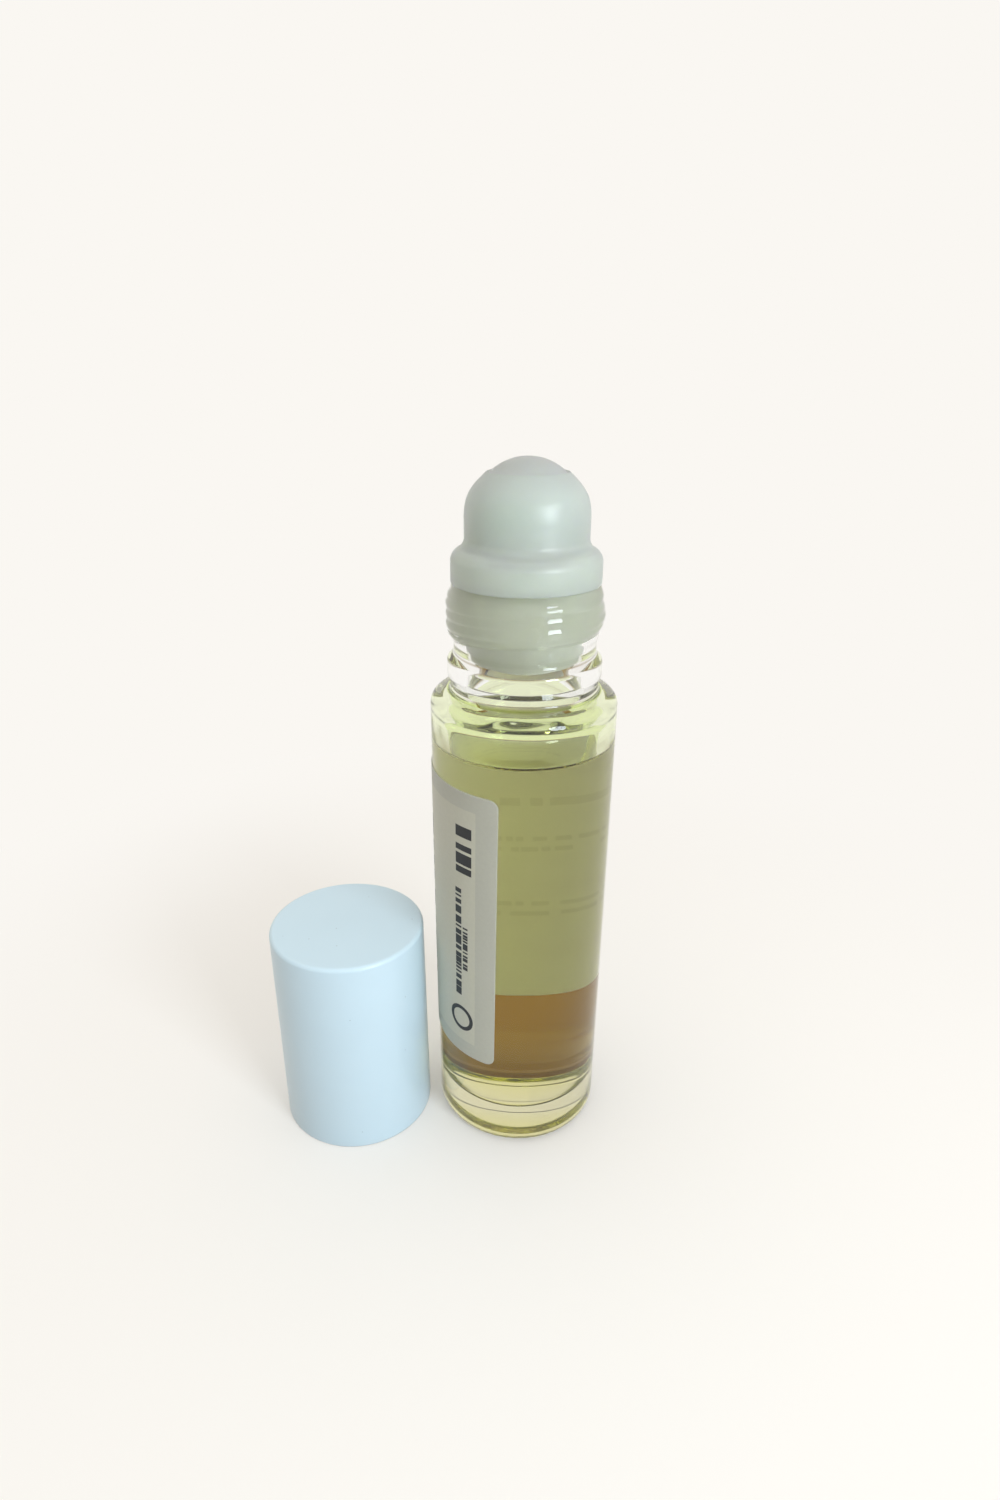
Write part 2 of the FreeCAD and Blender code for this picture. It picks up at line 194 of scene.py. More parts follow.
class RollOnSizes(bpy.types.PropertyGroup):
    # Glass bottle
    push_up: millimetres("Push-up", "Depth of the hollow under the bottle", 0.5)
    bearing_ring: millimetres("Bearing ring", "Width of the ring that the bottle stands on", 1.6)
    heel_round: millimetres("Heel round", "Rounding between the base and the wall", 1.5)
    stipple_spacing: millimetres("Stipple spacing", "Between the bumps round the heel", 1.2)
    stipple_height: millimetres("Stipple height", "How far a heel bump stands out", 0.1)
    shoulder_z: millimetres("Shoulder corner", "Height where wall and shoulder would meet", 55.62)
    shoulder_round: millimetres("Shoulder round", "Rounding of the shoulder", 2.9)
    shoulder_wall: millimetres("Shoulder wall", "Glass under the shoulder, upright", 1.6)
    waist_z: millimetres("Waist height", "Top of the shoulder", 56.2)
    waist_diameter: millimetres("Waist", "Neck just above the shoulder, across", 15.7)
    bead_z: millimetres("Bead height", "Bottom of the bead round the neck", 57.1)
    bead_diameter: millimetres("Bead", "Bead round the neck, across", 16.3)
    bead_height: millimetres("Bead depth", "Bottom to top of the bead", 3.1)
    bead_flank: millimetres("Bead flank", "Height of the bead's sloping flanks", 0.8)
    groove_diameter: millimetres("Groove", "Between bead and thread, across", 14.9)
    groove_height: millimetres("Groove height", "Straight part of the groove", 1.0)
    neck_diameter: millimetres("Neck", "Root of the thread, across", 15.3)
    bore: millimetres("Bore", "Inside of the neck, across", 12.0)
    thread_crest: millimetres("Thread crest", "Outside of the thread, across", 16.4)
    thread_round: millimetres("Thread round", "Radius of the thread's swell, above and below it", 2.2)
    thread_z: millimetres("Thread height", "Middle of the ridge where the thread starts", 62.65)
    thread_pitch: millimetres("Thread pitch", "Rise of the thread in a turn", 2.1)
    thread_length: degrees("Thread length", "How far the thread winds", 612)
    thread_start: degrees("Thread start", "Where the thread starts, about Z from +X", 97)
    thread_run_out: degrees("Thread run-out", "Taper at each end of the thread", 25)
    ridge_spacing: millimetres("Ridge spacing", "Between the fine ridges along the thread", 1.05)
    ridge_depth: millimetres("Ridge depth", "Depth of the grooves between those ridges", 0.14)
    # Oil
    meniscus: millimetres("Meniscus", "How far the oil climbs the glass", 0.6)
    # Roller housing
    ball_gap: millimetres("Ball gap", "Running gap all round the ball", 0.1)
    socket_wall: millimetres("Socket wall", "Thickness of the socket round the ball", 0.55)
    rim_wall: millimetres("Rim wall", "Thickness of the socket at its rim", 0.14)
    rim_gap: millimetres("Rim gap", "Gap between the rim and the ball", 0.02)
    flange_height: millimetres("Flange height", "Lip of the bottle to the flange's top", 3.3)
    flange_round: millimetres("Flange round", "Rounding of the flange's edge and root", 1.2)
    flange_fall: millimetres("Flange fall", "How far the flange's top slopes down outwards", 0.7)
    feed_hole: millimetres("Feed hole", "Hole under the ball, across", 4.4)
    plug_wall: millimetres("Plug wall", "Wall of the plug inside the neck", 0.8)
    plug_lead_in: millimetres("Plug lead-in", "How far the plug narrows to its end", 0.6)
    plug_lead_height: millimetres("Plug lead-in height", "Height of its narrowing end", 3.8)
    # Screw cap
    cap_wall: millimetres("Cap wall", "Wall of the cap at its mouth", 0.8)
    cap_draft: millimetres("Cap draft", "How much the cap narrows to its top", 0.12)
    cap_top: millimetres("Cap top", "Thickness of the cap's top", 1.5)
    cap_edge: millimetres("Cap edge", "Rounding of the cap's upper edge", 0.5)
    cap_thread_z: millimetres("Cap thread height", "Middle of the cap's ridge where it starts", 6.7)
    cap_thread_length: degrees("Cap thread length", "How far the cap's thread winds", 450)
    cap_thread_round: millimetres("Cap thread round", "Radius of the cap's thread ridge", 0.47)
    cap_thread_depth: millimetres("Cap thread depth", "Middle of the ridge inside the wall", 0.17)
    seal_ring: millimetres("Sealing ring", "Ring that closes on the ball, across", 7.0)
    seal_wall: millimetres("Sealing ring wall", "Thickness of the sealing ring", 0.8)
    seal_depth: millimetres("Sealing ring depth", "How far the ring hangs from the cap's top", 3.69)
    # Label
    label_width: millimetres("Label width", "Length of the label along its wrap", 40.0)
    label_corner: millimetres("Label corner", "Rounding of the label's corners", 1.0)
    label_edge: degrees("Label edge", "The edge in front, from -Y towards +X", -13.4)
    label_slope: degrees("Label slope", "How crooked the label sits", 2.9)
    label_lean: degrees("Label lean", "How far its upright edges lean", 0.6)


class RollOnColours(bpy.types.PropertyGroup):
    glass: paint("Glass", "Slight tint of the clear glass", "#FDFEFE")
    oil: paint("Oil", "What is left of white light after a long way through the oil", "#FAF855")
    # Partly painted light: the yellow-green stands in for light from the oil seen through the
    # shoulder
    film: paint("Oil film", "Glass inside the shoulder, under a film of oil", "#F2F8D8")
    # Partly painted reflection: dim, warm surroundings seen in the foot
    foot: paint("Foot", "Thick foot of the glass", "#DDD9B8")
    housing: paint("Housing", "Natural plastic of the housing", "#EFFCF1")
    plug: paint("Plug", "The housing's thin plug, wetted by oil", "#ECF2DC")
    ball: paint("Ball", "Natural plastic of the ball", "#F4FEF8")
    cap: paint("Cap", "White plastic of the cap", "#D2E8F3")
    paper: paint("Paper", "Face of the label", "#BEBEB2")
    paper_panel: paint("Paper panel", "Printed panel on the label", "#CAC9BA")
    paper_back: paint("Paper back", "Gummed side of the label", "#F8F7EC")
    ink: paint("Ink", "Print on the label", "#1C1F22")
    backdrop: paint("Backdrop", "Floor and background", "#FAF7F2")
    # Painted shade: brown that only rays through glass, oil or plastic find on the floor near the
    # bottle
    shade: paint("Shade", "Floor close to the bottle, as transmission rays see it", "#8A6714")
    daylight: paint("Daylight", "Light from the window side", "#EAF5FF")


class RollOnStage(bpy.types.PropertyGroup):
    camera_back: millimetres("Camera back", "Camera in front of the bottle's axis", 87.11)
    camera_height: millimetres("Camera height", "Camera above the floor", 85.83)
    camera_pan: degrees("Camera pan", "Turn of the camera to the left", 2.68)
    camera_tilt: degrees("Camera tilt", "How far the camera looks down", 25.13)
    floor_gap: millimetres("Floor gap", "Air under the pieces", 0.05)
    floor_reach: millimetres("Floor reach", "Radius of the floor", 3000)
    window_width: millimetres("Window width", "Side to side", 120)
    window_height: millimetres("Window height", "Bottom to top", 160)
    window_power: bpy.props.FloatProperty(
        name="Window power", description="Light of the window", default=0.8, unit="POWER"
    )
    window_bearing: degrees("Window bearing", "Window from -Y towards +X", 41)
    window_rise: degrees("Window rise", "Window above the level", 16)
    window_distance: millimetres("Window distance", "Window to where it points", 350)
    window_aim: millimetres("Window aim", "Where it points on the bottle's axis", 50)


def rgba(colour, share=1.0):
    """A colour, or a share of it, as a node's socket takes it."""
    return (*[share * channel for channel in colour], 1)


def add_node(tree, kind, inputs=None, **settings):
    """Add a node, set it up, and set or link its inputs. A node there gives its first output."""
    new = tree.nodes.new("ShaderNode" + kind)
    for setting, value in settings.items():
        setattr(new, setting, value)
    for socket, value in (inputs or {}).items():
        if isinstance(value, bpy.types.Node):
            value = next(output for output in value.outputs if output.enabled)
        if isinstance(value, bpy.types.NodeSocket):
            tree.links.new(value, new.inputs[socket])
        else:
            new.inputs[socket].default_value = value
    return new


def clear_nodes(owner):
    """Empty a material's or world's node tree, and give what adds nodes to it."""
    owner.use_nodes = True
    owner.node_tree.nodes.clear()
    return partial(add_node, owner.node_tree)


def new_material(name):
    """A material without nodes, and what adds nodes to it."""
    material = bpy.data.materials.new(name)
    return material, clear_nodes(material)


def grains_per_metre(size_mm):
    """Scale of a pattern on Object coordinates whose grain has this size."""
    return 1 / (size_mm * MM)


def relief(add, grain_mm, detail, depth, strength=1.0):
    """Fine relief in a piece's skin, as the node that gives its normal."""
    place = add("TexCoord")
    grain = add("TexNoise", {
        "Vector": place.outputs["Object"],
        "Scale": grains_per_metre(grain_mm),
        "Detail": detail,
    })
    return add("Bump", {"Height": grain, "Strength": strength, "Distance": depth})


def clouded(add, colour, cloud_mm, detail, darkest, lightest):
    """A plastic's colour, with the faint clouds that its flow left in it."""
    place = add("TexCoord")
    clouds = add("TexNoise", {
        "Vector": place.outputs["Object"],
        "Scale": grains_per_metre(cloud_mm),
        "Detail": detail,
    })
    return add("Mix", {
        "Factor": clouds,
        "A": rgba(colour, darkest),
        "B": rgba([min(1.0, lightest * channel) for channel in colour]),
    }, data_type="RGBA")


def round_off(mesh, verts, reach):
    """Round corners that lie in a plane, from this far along their edges."""
    bmesh.ops.bevel(
        mesh,
        geom=verts,
        offset=reach,
        offset_type="OFFSET",
        segments=ROUND_SEGMENTS,
        profile=0.5,
        affect="VERTICES",
        material=-1,
    )


def arc_corner(radius, height, angle):
    """Corner on a circle about a point on the axis."""
    return Corner(radius * math.cos(angle), height + radius * math.sin(angle))


def draw_outline(mesh, corners):
    """Draw an outline as a chain of edges in the XZ plane, and round its corners."""
    tip = mesh.verts.new((corners[0].r, 0, corners[0].z))
    chain = [tip]
    for corner in corners[1:]:
        tip = bmesh.ops.extrude_vert_indiv(mesh, verts=[tip])["verts"][0]
        tip.co = (corner.r, 0, corner.z)
        chain.append(tip)
    places = [vert.co.copy() for vert in chain]
    for index in range(1, len(chain) - 1):
        if corners[index].round == 0:
            continue
        before = places[index - 1] - places[index]
        after = places[index + 1] - places[index]
        reach = corners[index].round / math.tan(before.angle(after) / 2)
        round_off(mesh, [chain[index]], min(reach, LONGEST_ROUND * min(before.length, after.length)))


def refine_outline(mesh, low, high, least_radius, most_radius):
    """Divide the outline's edges in a band of heights, so that fine relief can be raised there."""
    for edge in [edge for edge in mesh.edges if edge.is_wire]:
        middle = (edge.verts[0].co + edge.verts[1].co) / 2
        cuts = math.ceil(edge.calc_length() / THREAD_FINENESS) - 1
        near = low < middle.z < high and least_radius < middle.x < most_radius
        if near and cuts > 0:
            bmesh.ops.subdivide_edges(mesh, edges=[edge], cuts=cuts)


def spin(mesh, geometry, sectors, steps, copies=False):
    """Spin geometry about the Z axis through some sectors, to a surface or to copies."""
    bmesh.ops.spin(
        mesh,
        geom=geometry,
        cent=(0, 0, 0),
        axis=UP,
        dvec=(0, 0, 0),
        angle=FULL_TURN * sectors / SECTORS,
        steps=steps,
        use_duplicate=copies,
    )


def spin_outline(mesh, steps, material_index=0):
    """Spin the drawn outline through a sector, and repeat the sector all round the Z axis."""
    wire = [edge for edge in mesh.edges if edge.is_wire]
    verts = list({vert for edge in wire for vert in edge.verts})
    count = len(mesh.faces)
    spin(mesh, verts + wire, 1, steps // SECTORS)
    mesh.faces.ensure_lookup_table()
    sector = mesh.faces[count:]
    for face in sector:
        face.material_index = material_index
    edges = {edge for face in sector for edge in face.edges}
    verts = {vert for face in sector for vert in face.verts}
    spin(mesh, [*verts, *edges, *sector], SECTORS - 1, SECTORS - 1, copies=True)


def close_mesh(mesh):
    """Merge what the spin left double, and turn the faces outwards."""
    bmesh.ops.remove_doubles(mesh, verts=mesh.verts, dist=MERGE)
    bmesh.ops.recalc_face_normals(mesh, faces=mesh.faces)


def smooth_step(low, high, value):
    """From 0 at one limit to 1 at the other, level at both."""
    share = min(1.0, max(0.0, (value - low) / (high - low)))
    return share * share * (3 - 2 * share)


def set_radius(vert, radius):
    """Move a vertex to this distance from the Z axis."""
    share = radius / math.hypot(vert.co.x, vert.co.y)
    vert.co.x *= share
    vert.co.y *= share


def along_thread(vert, sizes, start_z, length):
    """Share of full depth and middle height of each turn of a thread that passes a vertex."""
    run_out = sizes.thread_run_out
    turn = (math.atan2(vert.co.y, vert.co.x) - sizes.thread_start + run_out) % FULL_TURN - run_out
    while turn < length + run_out:
        taper = smooth_step(-run_out, run_out, turn)
        taper *= smooth_step(length + run_out, length - run_out, turn)
        yield taper, start_z + sizes.thread_pitch * turn / FULL_TURN
        turn += FULL_TURN


def to_piece(name, mesh, materials):
    """Turn a finished bmesh into an object at the origin, with its materials."""
    data = bpy.data.meshes.new(name)
    mesh.to_mesh(data)
    mesh.free()
    for material in materials:
        data.materials.append(material)
    data.polygons.foreach_set("use_smooth", [True] * len(data.polygons))
    data.set_sharp_from_angle(angle=SHARP_ANGLE)
    piece = bpy.data.objects.new(name, data)
    bpy.context.scene.collection.objects.link(piece)
    return piece


def put_in_frame(piece, body, node):
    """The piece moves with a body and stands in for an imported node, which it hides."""
    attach(piece, body)
    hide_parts(node)


def moulded_glass(colours):
    """Soda-lime glass, blown in a mould: clear, with slow ripples in its skin."""
    material, add = new_material("moulded_soda_lime_glass")
    glass = add("BsdfPrincipled", {
        "Base Color": rgba(colours.glass),
        "Roughness": 0.0,
        "IOR": GLASS_IOR,
        "Transmission Weight": 1.0,
        "Normal": relief(add, grain_mm=7, detail=1.0, depth=0.06 * MM),
    })
    add("OutputMaterial", {"Surface": glass})
    return material


def wetted_glass():
    """The same glass where oil wets it: nearly no mirror is left between the two."""
    material, add = new_material("wetted_soda_lime_glass")
    glass = add("BsdfRefraction", {"Roughness": 0.0, "IOR": GLASS_IOR})
    add("OutputMaterial", {"Surface": glass})
    return material


def oiled_glass_with_painted_light(colours):
    """The same glass above the oil, where a film of oil clings: its tint is partly the film's, partly
    painted light from the oil.
    """
    material, add = new_material("oiled_soda_lime_glass")
    glass = add("BsdfGlass", {
        "Color": rgba(colours.film),
        "Roughness": 0.0,
        "IOR": GLASS_IOR,
        "Normal": relief(add, grain_mm=4, detail=1.0, depth=0.14 * MM),
    })
    add("OutputMaterial", {"Surface": glass})
    return material


def foot_glass_with_painted_reflection(colours):
    """The same glass in the thick foot, tinted and darker: its own and the oil's tint, and a painted
    reflection of dim, warm surroundings.
    """
    material, add = new_material("foot_soda_lime_glass")
    glass = add("BsdfGlass", {"Color": rgba(colours.foot), "Roughness": 0.0, "IOR": GLASS_IOR})
    add("OutputMaterial", {"Surface": glass})
    return material


class ROLLON_OT_glass_bottle(bpy.types.Operator):
    """Blow the glass bottle with its threaded neck and stippled heel"""

    bl_idname = "rollon.glass_bottle"
    bl_label = "Glass bottle"

    def execute(self, context):
        s = context.scene.rollon_sizes
        ring_inner = BODY_RADIUS - s.heel_round - s.bearing_ring
        hollow = ring_inner - 2 * s.push_up
        groove_z = s.bead_z + s.bead_height
        thread_root_z = groove_z + s.groove_height + s.bead_flank
        neck_outside = s.bore / 2 + OUTSIDE
        heel_outside = ring_inner + OUTSIDE
        dry = [
            Corner(0, s.push_up),
            Corner(hollow, s.push_up, PUSH_UP_ROUND),
            Corner(ring_inner, 0, RING_ROUND),
            Corner(BODY_RADIUS, 0, s.heel_round),
            Corner(BODY_RADIUS, s.shoulder_z, s.shoulder_round),
            Corner(s.waist_diameter / 2, s.waist_z, WAIST_ROUND),
            Corner(s.waist_diameter / 2, s.bead_z, BEAD_ROUND),
            Corner(s.bead_diameter / 2, s.bead_z + s.bead_flank, BEAD_ROUND),
            Corner(s.bead_diameter / 2, groove_z - s.bead_flank, BEAD_ROUND),
            Corner(s.groove_diameter / 2, groove_z, BEAD_ROUND),
            Corner(s.groove_diameter / 2, groove_z + s.groove_height, BEAD_ROUND),
            Corner(s.neck_diameter / 2, thread_root_z, BEAD_ROUND),
            Corner(s.neck_diameter / 2, LIP_Z, LIP_ROUND),
            Corner(s.bore / 2, LIP_Z, LIP_ROUND),
            Corner(s.bore / 2, s.waist_z - s.shoulder_wall, BORE_ROUND),
            Corner(INNER_RADIUS, s.shoulder_z - s.shoulder_wall, INNER_ROUND),
            Corner(INNER_RADIUS, FILL_Z),
        ]
        wet = [
            Corner(INNER_RADIUS, FILL_Z),
            Corner(INNER_RADIUS, FLOOR_Z, FLOOR_ROUND),
            Corner(0, FLOOR_Z),
        ]
        mesh = bmesh.new()
        draw_outline(mesh, dry)
        refine_outline(mesh, groove_z, LIP_Z, neck_outside, BODY_RADIUS)
        refine_outline(mesh, -MERGE, s.heel_round, heel_outside, BODY_RADIUS)
        spin_outline(mesh, GLASS_STEPS)
        draw_outline(mesh, wet)
        spin_outline(mesh, GLASS_STEPS, material_index=1)
        close_mesh(mesh)
        for vert in mesh.verts:
            radius = math.hypot(vert.co.x, vert.co.y)
            if radius > neck_outside and groove_z < vert.co.z:
                self.raise_thread(vert, radius, s)
            elif vert.co.z < s.heel_round / 2 and radius > heel_outside:
                self.raise_stipple(vert, radius, s)
        for face in mesh.faces:
            middle = face.calc_center_median()
            inside = math.hypot(middle.x, middle.y) < INNER_RADIUS + SLACK
            # Inside the shoulder the glass carries painted light from the oil.
            if inside and FILL_Z < middle.z < s.waist_z:
                face.material_index = 2
            # The foot's glass carries a painted reflection.
            elif middle.z < s.heel_round / 2:
                face.material_index = 3
        colours = context.scene.rollon_colours
        glass = [moulded_glass(colours), wetted_glass(), oiled_glass_with_painted_light(colours), foot_glass_with_painted_reflection(colours)]
        piece = to_piece("glass_bottle", mesh, glass)
        put_in_frame(piece, "bottle", "bottle")
        return {"FINISHED"}

    def raise_thread(self, vert, radius, sizes):
        """Swell the neck to a broad ridge with fine grooves, fading close under the lip."""
        clear_of_lip = smooth_step(LIP_Z, LIP_Z - LIP_MARGIN, vert.co.z)
        turns = [
            (taper, vert.co.z - middle_z)
            for taper, middle_z in along_thread(vert, sizes, sizes.thread_z, sizes.thread_length)
        ]
        # Between a turn below and a turn above, the swell stays level.
        below = max((taper for taper, rise in turns if rise >= 0), default=0.0)
        above = max((taper for taper, rise in turns if rise < 0), default=0.0)
        open_share = 1 - min(below, above)
        swell = 0.0
        groove = 0.0
        for taper, rise in turns:
            fall = open_share * rise ** 2 / (2 * sizes.thread_round)
            lift = taper * (sizes.thread_crest / 2 - fall - radius)
            step = rise / sizes.ridge_spacing
            if lift > swell:
                swell = lift
                groove = taper * (2 * (step - round(step))) ** 2 * sizes.ridge_depth
        set_radius(vert, radius + max(0.0, swell - groove) * clear_of_lip)

    def raise_stipple(self, vert, radius, sizes):
        """Small round bumps in a ring, half way round the heel."""
        ring = BODY_RADIUS - STIPPLE_INSET
        count = round(FULL_TURN * ring / sizes.stipple_spacing)
        step = FULL_TURN / count
        angle = math.atan2(vert.co.y, vert.co.x)
        aside = (angle / step - round(angle / step)) * step * ring
        off = math.hypot(aside, radius - ring) / STIPPLE_RADIUS
        bump = BUMP_SHARE * sizes.stipple_height * math.exp(-off * off)
        set_radius(vert, radius + bump)
        vert.co.z = max(0.0, vert.co.z - bump)


def body_oil(colours):
    """Vegetable oil, clear: yellow-green in depth, with a mirror only on its free surface."""
    material, add = new_material("clear_body_oil")
    # The free surface is what lies near the fill level and isn't upright.
    surface_depth = 0.8 * MM
    least_flatness = 0.2
    place = add("TexCoord")
    height = add("SeparateXYZ", {"Vector": place.outputs["Object"]})
    near_top = add("Math", {
        0: height.outputs["Z"],
        1: FILL_Z - surface_depth,
    }, operation="GREATER_THAN")
    facing = add("NewGeometry")
    upward = add("SeparateXYZ", {"Vector": facing.outputs["True Normal"]})
    flatness = add("Math", {0: upward.outputs["Z"]}, operation="ABSOLUTE")
    level = add("Math", {0: flatness, 1: least_flatness}, operation="GREATER_THAN")
    surface = add("Math", {0: near_top, 1: level}, operation="MULTIPLY")
    wet = add("BsdfRefraction", {"Roughness": 0.0, "IOR": OIL_IOR})
    free = add("BsdfGlass", {"Roughness": 0.0, "IOR": OIL_IOR})
    skin = add("MixShader", {0: surface, 1: wet, 2: free})
    depth = add("VolumeAbsorption", {"Color": rgba(colours.oil), "Density": 45.0})
    add("OutputMaterial", {"Surface": skin, "Volume": depth})
    return material


class ROLLON_OT_oil(bpy.types.Operator):
    """Fill the bottle with oil, up to its curved free surface"""

    bl_idname = "rollon.oil"
    bl_label = "Oil"

    def execute(self, context):
        s = context.scene.rollon_sizes
        wall = INNER_RADIUS + OVERLAP
        floor = FLOOR_Z - OVERLAP
        level = FILL_Z - s.meniscus
        mesh = bmesh.new()
        draw_outline(mesh, [
            Corner(0, floor),
            Corner(wall, floor, FLOOR_ROUND),
            Corner(wall, FILL_Z),
            Corner(wall - MENISCUS_STEEP, FILL_Z - STEEP_CLIMB * s.meniscus, s.meniscus),
            Corner(wall - MENISCUS_WIDTH, level, MENISCUS_WIDTH),
            Corner(0, level),
        ])
        spin_outline(mesh, GLASS_STEPS)
        close_mesh(mesh)
        piece = to_piece("oil_fill", mesh, [body_oil(context.scene.rollon_colours)])
        put_in_frame(piece, "bottle", "oil")
        return {"FINISHED"}


def housing_plastic(name, colour, clearness):
    """Natural polyethylene, injection moulded: milky, lets light in, satin from the mould."""
    material, add = new_material(name)
    plastic = add("BsdfPrincipled", {
        "Base Color": clouded(add, colour, cloud_mm=5, detail=3.0, darkest=0.94, lightest=1.04),
        "Roughness": 0.36,
        "IOR": 1.51,
        "Transmission Weight": clearness,
        "Subsurface Weight": 1.0,
        "Subsurface Radius": (1.0, 1.0, 0.9),
        "Subsurface Scale": 0.5 * MM,
        # The satin's grain is drawn coarser than it is, so that it shows.
        "Normal": relief(add, grain_mm=0.3, detail=2.0, depth=0.01 * MM, strength=0.3),
    })
    add("OutputMaterial", {"Surface": plastic})
    return material


class ROLLON_OT_roller_housing(bpy.types.Operator):
    """Mould the housing that plugs the neck and holds the ball"""

    bl_idname = "rollon.roller_housing"
    bl_label = "Roller housing"

    def execute(self, context):
        s = context.scene.rollon_sizes
        socket = BALL_RADIUS + s.ball_gap
        # Oil has crept between plug and bore, so the plug meets the glass without an air gap.
        plug = s.bore / 2 + OVERLAP
        plug_inner = s.bore / 2 - s.plug_wall
        lead_in = s.plug_lead_in
        lead_z = PLUG_Z + s.plug_lead_height
        feed = s.feed_hole / 2
        seat_angle = -math.acos(feed / socket)
        rim_angle = math.asin((RIM_Z - BALL_Z) / socket)
        flange_top = LIP_Z + s.flange_height
        flange_foot = LIP_Z + SLACK
        seat = [
            arc_corner(socket, BALL_Z, seat_angle * (SEAT_STEPS - index) / SEAT_STEPS)
            for index in range(SEAT_STEPS)
        ]
        rim_inner = []
        rim_outer = []
        for index in range(RIM_STEPS + 1):
            share = index / RIM_STEPS
            closing = (s.ball_gap - s.rim_gap) * smooth_step(GAP_CLOSES, 1, share)
            thinning = (s.socket_wall - s.rim_wall) * smooth_step(WALL_THINS, 1, share)
            rim_inner.append(arc_corner(socket - closing, BALL_Z, share * rim_angle))
            rim_outer.append(arc_corner(socket + s.socket_wall - thinning, BALL_Z, share * rim_angle))
        mesh = bmesh.new()
        draw_outline(mesh, [
            Corner(plug_inner - lead_in, PLUG_Z),
            Corner(plug_inner, lead_z),
            Corner(plug_inner, LIP_Z + SEAT_RISE),
            Corner(feed, LIP_Z),
            *seat,
            *rim_inner,
            *reversed(rim_outer),
            Corner(socket + s.socket_wall, flange_top + s.flange_fall / 2, s.flange_round),
            Corner(FLANGE_RADIUS, flange_top - s.flange_fall / 2, s.flange_round),
            Corner(FLANGE_RADIUS, flange_foot, FLANGE_FOOT_ROUND),
            Corner(plug, flange_foot),
            Corner(plug, lead_z, PLUG_LEAD_ROUND),
            Corner(plug - lead_in, PLUG_Z, PLUG_END_ROUND),
            Corner(plug_inner - lead_in, PLUG_Z),
        ])
        spin_outline(mesh, PLASTIC_STEPS)
        close_mesh(mesh)
        for face in mesh.faces:
            middle = face.calc_center_median()
            if middle.z < LIP_Z:
                face.material_index = 1
            elif (middle - BALL_CENTRE).length < socket + MERGE:
                face.material_index = 2
        colours = context.scene.rollon_colours
        plastics = [
            housing_plastic("natural_polyethylene", colours.housing, clearness=0.55),
            housing_plastic("wetted_polyethylene", colours.plug, clearness=0.2),
            housing_plastic("socket_polyethylene", colours.housing, clearness=1.0),
        ]
        piece = to_piece("ball_housing", mesh, plastics)
        put_in_frame(piece, "bottle", "roller_housing")
        return {"FINISHED"}


def ball_plastic(colours):
    """Natural polypropylene, tumbled: milky, lets light in, smoother than the housing."""
    material, add = new_material("natural_polypropylene")
    plastic = add("BsdfPrincipled", {
        "Base Color": clouded(
            add, colours.ball, cloud_mm=4, detail=3.0, darkest=0.94, lightest=1.04
        ),
        "Roughness": 0.34,
        "IOR": 1.49,
        "Transmission Weight": 0.6,
        "Subsurface Weight": 1.0,
        "Subsurface Radius": (1.0, 1.0, 0.9),
        "Subsurface Scale": 0.8 * MM,
    })
    add("OutputMaterial", {"Surface": plastic})
    return material


class ROLLON_OT_roller_ball(bpy.types.Operator):
    """Mould the ball, with the faint line where its mould parted"""

    bl_idname = "rollon.roller_ball"
    bl_label = "Roller ball"

    def execute(self, context):
        mesh = bmesh.new()
        bmesh.ops.create_uvsphere(
            mesh, u_segments=BALL_STEPS, v_segments=BALL_RINGS, radius=BALL_RADIUS
        )
        for vert in mesh.verts:
            sunk = PARTING_DEPTH * math.exp(-((vert.co.x / PARTING_WIDTH) ** 2))
            vert.co -= vert.co.normalized() * sunk
        bmesh.ops.translate(mesh, verts=mesh.verts, vec=BALL_CENTRE)
        piece = to_piece("applicator_ball", mesh, [ball_plastic(context.scene.rollon_colours)])
        put_in_frame(piece, "ball", "roller_ball")
        return {"FINISHED"}


def cap_plastic(colours):
    """White polypropylene, injection moulded: half gloss, a fine skin and a little dust."""
    material, add = new_material("white_polypropylene")
    speck_spacing_mm = 2.2
    speck_share = 0.035         # of that spacing
    place = add("TexCoord")
    specks = add("TexVoronoi", {
        "Vector": place.outputs["Object"],
        "Scale": grains_per_metre(speck_spacing_mm),
    })
    dust = add("Math", {0: specks.outputs["Distance"], 1: speck_share}, operation="LESS_THAN")
    dusty = add("Mix", {
        "Factor": dust,
        "A": clouded(add, colours.cap, cloud_mm=9, detail=2.0, darkest=0.97, lightest=1.02),
        "B": rgba(colours.cap, share=0.72),
    }, data_type="RGBA")
    plastic = add("BsdfPrincipled", {
        "Base Color": dusty,
        "Roughness": 0.3,
        "IOR": 1.49,
        "Subsurface Weight": 0.3,
        "Subsurface Radius": (1.0, 1.0, 1.0),
        "Subsurface Scale": 0.5 * MM,
        "Normal": relief(add, grain_mm=0.6, detail=2.0, depth=0.006 * MM, strength=0.3),
    })
    add("OutputMaterial", {"Surface": plastic})
    return material


